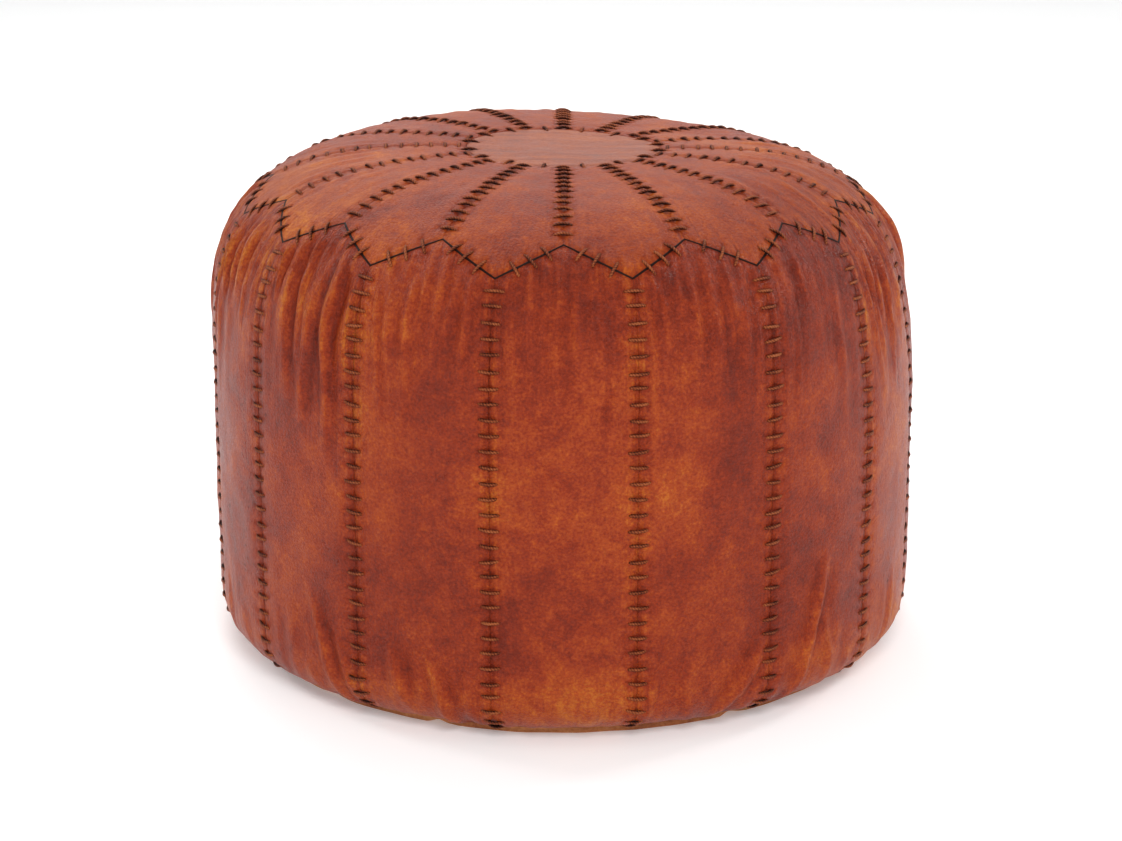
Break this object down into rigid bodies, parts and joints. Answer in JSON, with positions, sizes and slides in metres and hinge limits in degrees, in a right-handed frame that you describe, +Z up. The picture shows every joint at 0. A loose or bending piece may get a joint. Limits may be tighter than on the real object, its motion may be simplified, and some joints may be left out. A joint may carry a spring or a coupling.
{
  "type": "moroccan leather pouf",
  "caption": "Round floor pouf of whip-stitched leather with a petal top, upright side panels, stuffed body and a zipped base.",
  "frame": {"origin": "centre of the base, on the floor that the pouf stands on", "axes": "+Z up through the middle of the top disc; -Y is the front; the zip under the base runs along X"},
  "size_m": [0.51, 0.51, 0.367],
  "materials": {
    "disc_leather": "satin, hand dyed, paler than the sides",
    "petal_leather": "satin, hand dyed, mottled orange brown",
    "side_leather": "satin, hand dyed, mottled red brown",
    "base_leather": "matt tan",
    "waxed_cord": "waxed",
    "cotton": "plain weave",
    "fibre": "loose fibre",
    "zip_tape": "woven tape",
    "zip_metal": "antique"
  },
  "bodies": {
    "cover": {"top_disc": "disc_leather", "petal_01": "petal_leather", "petal_02": "petal_leather", "petal_03": "petal_leather", "petal_04": "petal_leather", "petal_05": "petal_leather", "petal_06": "petal_leather", "petal_07": "petal_leather", "petal_08": "petal_leather", "petal_09": "petal_leather", "petal_10": "petal_leather", "petal_11": "petal_leather", "petal_12": "petal_leather", "petal_13": "petal_leather", "petal_14": "petal_leather", "petal_15": "petal_leather", "petal_16": "petal_leather", "side_panel_01": "side_leather", "side_panel_02": "side_leather", "side_panel_03": "side_leather", "side_panel_04": "side_leather", "side_panel_05": "side_leather", "side_panel_06": "side_leather", "side_panel_07": "side_leather", "side_panel_08": "side_leather", "side_panel_09": "side_leather", "side_panel_10": "side_leather", "side_panel_11": "side_leather", "side_panel_12": "side_leather", "side_panel_13": "side_leather", "side_panel_14": "side_leather", "side_panel_15": "side_leather", "side_panel_16": "side_leather", "side_thread_01": "waxed_cord", "side_thread_02": "waxed_cord", "side_thread_03": "waxed_cord", "side_thread_04": "waxed_cord", "side_thread_05": "waxed_cord", "side_thread_06": "waxed_cord", "side_thread_07": "waxed_cord", "side_thread_08": "waxed_cord", "side_thread_09": "waxed_cord", "side_thread_10": "waxed_cord", "side_thread_11": "waxed_cord", "side_thread_12": "waxed_cord", "side_thread_13": "waxed_cord", "side_thread_14": "waxed_cord", "side_thread_15": "waxed_cord", "side_thread_16": "waxed_cord", "crown_thread": "waxed_cord", "zigzag_thread": "waxed_cord", "base_front": "base_leather", "base_back": "base_leather", "liner_bag": "cotton", "stuffing": "fibre", "zip_stringer_front": "zip_tape", "zip_stringer_back": "zip_tape"},
    "slider": {"zip_slider": "zip_metal"},
    "pull": {"zip_pull": "zip_metal"}
  },
  "joints": [
    {"name": "zip_slide", "type": "slide", "parent": "cover", "child": "slider", "axis": [1, 0, 0], "range_m": [0, 0.3]},
    {"name": "pull_hinge", "type": "hinge", "parent": "slider", "child": "pull", "pos_m": [-0.14999, 0, 0.005], "axis": [0, 1, 0], "range_deg": [0, 180]}
  ]
}
